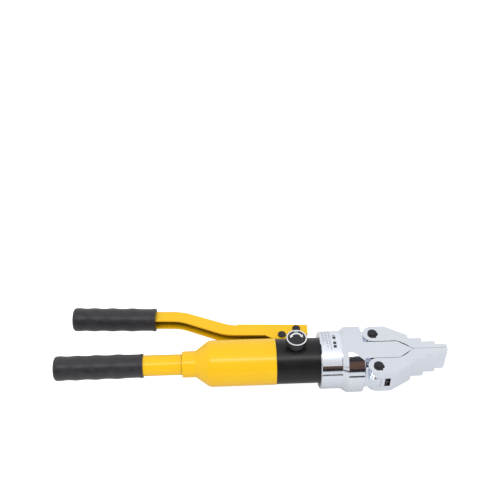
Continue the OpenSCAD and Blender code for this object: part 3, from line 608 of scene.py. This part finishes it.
def make_lever():
    """The channel with its two outer bends rounded by pressing and its sheet edges broken."""
    sheet_bend, sheet_edge, same = 2.6 * MM, 0.35 * MM, 0.01 * MM
    low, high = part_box("lever_channel")
    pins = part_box("plunger_pin")[0].x
    piece = dressed_copy("lever_channel", "pressed_lever")
    mesh = piece.data
    sides = {}
    for face in mesh.polygons:
        for key in face.edge_keys:
            sides.setdefault(key, []).append(face.normal.copy())
    pick(piece)
    bpy.ops.object.mode_set(mode="EDIT")
    bpy.ops.mesh.select_mode(type="EDGE")
    bpy.ops.mesh.select_all(action="DESELECT")
    bpy.ops.object.mode_set(mode="OBJECT")
    for edge in mesh.edges:
        normals = sides.get(edge.key, [])
        one, two = (mesh.vertices[index].co for index in edge.vertices)
        at_skin = min(abs(one.z - low.z), abs(one.z - high.z)) < same
        level = abs(one.z - two.z) < same
        outer = any(normal.y > 0.6 and abs(normal.z) < 0.1 for normal in normals)
        flat = any(abs(normal.z) > 0.9 for normal in normals)
        edge.select = at_skin and level and outer and flat and max(one.x, two.x) < pins
    bpy.ops.object.mode_set(mode="EDIT")
    bpy.ops.mesh.bevel(offset=sheet_bend, segments=4, affect="EDGES")
    bpy.ops.object.mode_set(mode="OBJECT")
    round_edges(piece, sheet_edge, 3, 35)
    return fit(piece, "lever", FINISH["yellow_paint"], ["lever_channel"])


make_lever()


# ---------------------------------------------------------------- release knob

KNOB_LOW, KNOB_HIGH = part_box("release_knob")
KNOB_MID = (KNOB_LOW + KNOB_HIGH) / 2
KNOB_TOP = KNOB_HIGH.z
DIAL_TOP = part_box("knob_face")[1].z
DIAL_R = size("knob_face").x / 2


def knob_ring(name, inner, outer, low, high, start=0.0, sweep=2 * pi, steps=96):
    """A flat ring, or part of one, about the knob's axis, with broken top edges."""
    edge = 0.04 * MM
    profile = [(low, inner), (high - edge, inner), (high, inner + edge), (high, outer - edge),
               (high - edge, outer), (low, outer), (low, inner)]
    return spun(name, profile, "Z", KNOB_MID, steps, start, sweep)


def capped(piece):
    """Closes the two open ends of a part turn."""
    pick(piece)
    bpy.ops.object.mode_set(mode="EDIT")
    bpy.ops.mesh.select_mode(type="EDGE")
    bpy.ops.mesh.select_all(action="DESELECT")
    bpy.ops.mesh.select_non_manifold()
    bpy.ops.mesh.edge_face_add()
    bpy.ops.mesh.select_all(action="SELECT")
    bpy.ops.mesh.normals_make_consistent(inside=False)
    bpy.ops.object.mode_set(mode="OBJECT")
    return piece


def make_knob_marks():
    """Black dial, white ring on the rim, and a white curved arrow that points both ways."""
    dial = round_edges(dressed_copy("knob_face", "black_dial"), 0.2 * MM)
    fit(dial, "knob", FINISH["knob_black"], ["knob_face"])
    inward, outward, ring_t = 0.75 * MM, 0.7 * MM, 0.18 * MM
    ring = knob_ring("white_ring", DIAL_R - inward, DIAL_R + outward, KNOB_TOP, KNOB_TOP + ring_t)
    fit(ring, "knob", FINISH["knob_white"])
    arc_r, arc_half, head_r, mark_t = 7.3 * MM, 1.05 * MM, 2.7 * MM, 0.16 * MM
    first, last = radians(22), radians(158)
    band = capped(knob_ring("curved_arrow", arc_r - arc_half, arc_r + arc_half, DIAL_TOP,
                            DIAL_TOP + mark_t, first, last - first, 40))
    heads = []
    for angle, turn in ((first, -pi / 2), (last, pi / 2)):
        deselect()
        centre = KNOB_MID + Vector((arc_r * cos(angle), arc_r * sin(angle), 0))
        centre.z = DIAL_TOP + mark_t / 2
        bpy.ops.mesh.primitive_cylinder_add(vertices=3, radius=head_r, depth=mark_t, location=centre,
                                            rotation=(0, 0, angle + turn + 3 * pi / 2))
        heads.append(settle(bpy.context.object))
    arrow = joined("curved_arrow", [band] + heads)
    fit(arrow, "knob", FINISH["knob_white"])


dress("release_knob", "moulded_knob_body", "knob", 0.25)
dress("knob_pointer", "pale_knob_pointer", "knob", 0.25)
make_knob_marks()


# ---------------------------------------------------------------- nameplate

PLATE_LOW, PLATE_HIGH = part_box("nameplate")
PLATE_R = PLATE_HIGH.z - AXIS.z
HEAD_MID = Vector((PLATE_LOW.x, AXIS.y, AXIS.z))


def plate_bar(name, x, width, far, near):
    """A printed bar on the plate, from a far angle to a near angle off the vertical."""
    print_t, sunk = 0.05 * MM, 0.02 * MM
    x0, x1 = PLATE_LOW.x + (x - width / 2) * MM, PLATE_LOW.x + (x + width / 2) * MM
    r0, r1 = PLATE_R - sunk, PLATE_R + print_t
    profile = [(x0, r0), (x1, r0), (x1, r1), (x0, r1), (x0, r0)]
    steps = max(4, int(abs(far - near) / 2))
    return capped(spun(name, profile, "X", HEAD_MID, steps, radians(-far), radians(far - near)))


def make_plate_print():
    """Six broken thin columns and one bold column of blocks, all plain bars.
    Places are in mm along the plate, lengths in degrees round it."""
    columns = ((2.3, 33, -14), (4.0, 33, -4), (6.4, 34, -10), (8.1, 34, -16), (10.6, 33, -13),
               (12.2, 30, -26))
    line_w, line_gap, shortest, line_lengths = 0.62, 1.4, 5, (6.5, 4.2, 8.0, 5.1)
    block_x, block_w, dash_w = 17.2, 4.0, 1.0
    blocks = ((block_w, 17, 15), (block_w, 12.5, 5), (dash_w, 2.5, 0.8), (block_w, -2, -8),
              (block_w, -10, -16))
    thin = []
    for x, far, near in columns:
        angle = far
        for length in cycle(line_lengths):
            if angle - shortest <= near:
                break
            thin.append(plate_bar("plate_line", x, line_w, angle, max(angle - length, near)))
            angle -= length + line_gap
    bold = [plate_bar("plate_block", block_x, width, far, near) for width, far, near in blocks]
    fit(joined("plate_lines", thin), "body", PRINT_GREY)
    fit(joined("plate_blocks", bold), "body", PRINT_DARK)


dress("nameplate", "curved_plate", "body", 0.12, 2, 40)
make_plate_print()


# ---------------------------------------------------------------- springs that stretch

def make_return_spring():
    """The ram's return spring, which shortens between the piston and the head."""
    spring = dressed_copy("return_spring", "ram_return_spring")
    fit(spring, None, FINISH["spring_steel"], ["return_spring"])
    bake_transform(spring)


def make_closing_spring():
    """The spring between the jaws, cut in two halves."""
    centre, reach = middle("closing_spring"), size("closing_spring").y / 2
    for name, jaw, side in (("near_half_spring", "near_jaw", -1), ("far_half_spring", "far_jaw", 1)):
        half = dressed_copy("closing_spring", name)
        pick(half)
        bpy.ops.object.mode_set(mode="EDIT")
        bpy.ops.mesh.select_all(action="SELECT")
        bpy.ops.mesh.bisect(plane_co=centre, plane_no=(0, side, 0), use_fill=True, clear_inner=True)
        bpy.ops.object.mode_set(mode="OBJECT")
        fit(half, None, FINISH["spring_steel"], ["closing_spring"])
        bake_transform(half)


make_return_spring()
make_closing_spring()


# ---------------------------------------------------------------- inner pieces

for node, piece in frame["nodes"].items():
    piece.data.materials.clear()
    piece.data.materials.append(FINISH[SLOT_OF[node]])


# ---------------------------------------------------------------- floor

def make_floor():
    """A pale floor that glows a little for the camera only."""
    floor_glow, floor_size = 0.85, 8
    material = finish("pale_floor", (0.8, 0.8, 0.8), (0.78, 0.78, 0.785), (0.8, 0.95), patch=3,
                      grain=(300, 0.1, 0.005), specular=0.0)
    tree = material.node_tree
    shader = tree.nodes["Principled BSDF"]
    path = add(tree, "LightPath")
    glow = maths(tree, "MULTIPLY", path.outputs["Is Camera Ray"], floor_glow)
    tree.links.new(glow, shader.inputs["Emission Strength"])
    shader.inputs["Emission Color"].default_value = (1, 1, 1, 1)
    deselect()
    bpy.ops.mesh.primitive_plane_add(size=floor_size, location=(0, 0, 0))
    floor = bpy.context.object
    floor.name = "studio_floor"
    floor.data.materials.append(material)
    floor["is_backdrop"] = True


make_floor()
set_camera()
set_light()

low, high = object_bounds()
